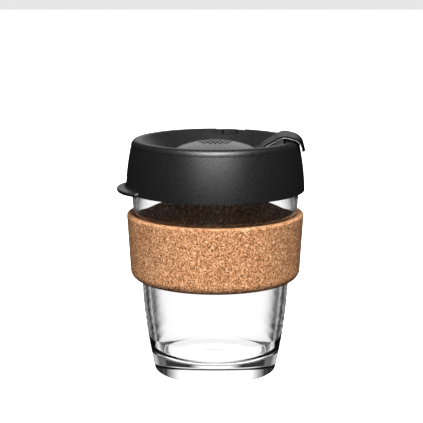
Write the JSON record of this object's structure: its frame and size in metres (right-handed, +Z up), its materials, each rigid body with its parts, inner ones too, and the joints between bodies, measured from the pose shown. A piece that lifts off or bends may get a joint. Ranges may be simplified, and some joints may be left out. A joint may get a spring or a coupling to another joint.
{
  "type": "reusable glass coffee cup",
  "caption": "Tapered glass takeaway cup with a cork grip band, a press-on dished lid with a lift tab, and a soft swivel plug that stops the sip hole.",
  "frame": {"origin": "centre of the flat underside of the glass base, on the surface the cup stands on", "axes": "+Z up along the cup's axis; the shut plug arm points 2.5 degrees from +X towards -Y; the lid's lift tab is on the -X side"},
  "size_m": [0.0947, 0.09, 0.1213],
  "materials": {
    "clear_glass": "polished, clear",
    "cork": "pressed cork granules, matt",
    "lid_plastic": "fine spark-eroded texture, black",
    "plug_rubber": "soft thermoplastic elastomer, satin, charcoal"
  },
  "bodies": {
    "cup": {"glass_cup": "clear_glass"},
    "band": {"cork_band": "cork"},
    "lid": {"lid_shell": "lid_plastic"},
    "plug": {"plug_hub": "plug_rubber"},
    "arm": {"plug_arm": "plug_rubber", "sip_stopper": "plug_rubber"}
  },
  "joints": [
    {"name": "lid_lift", "type": "slide", "parent": "cup", "child": "lid", "axis": [0, 0, 1], "range_m": [0, 0.04]},
    {"name": "band_slide", "type": "slide", "parent": "cup", "child": "band", "axis": [0, 0, -1], "range_m": [0, 0.046]},
    {"name": "plug_swivel", "type": "hinge", "parent": "lid", "child": "plug", "pos_m": [0, 0, 0.11], "axis": [0, 0, 1], "range_deg": [0, 80], "deforming": ["sip_stopper"]},
    {"name": "arm_lift", "type": "hinge", "parent": "plug", "child": "arm", "pos_m": [0.02028, -0.00089, 0.11377], "axis": [-0.0436, -0.999, 0], "range_deg": [0, 25], "stiffness_Nm_per_rad": 0.02, "deforming": ["sip_stopper"]}
  ]
}
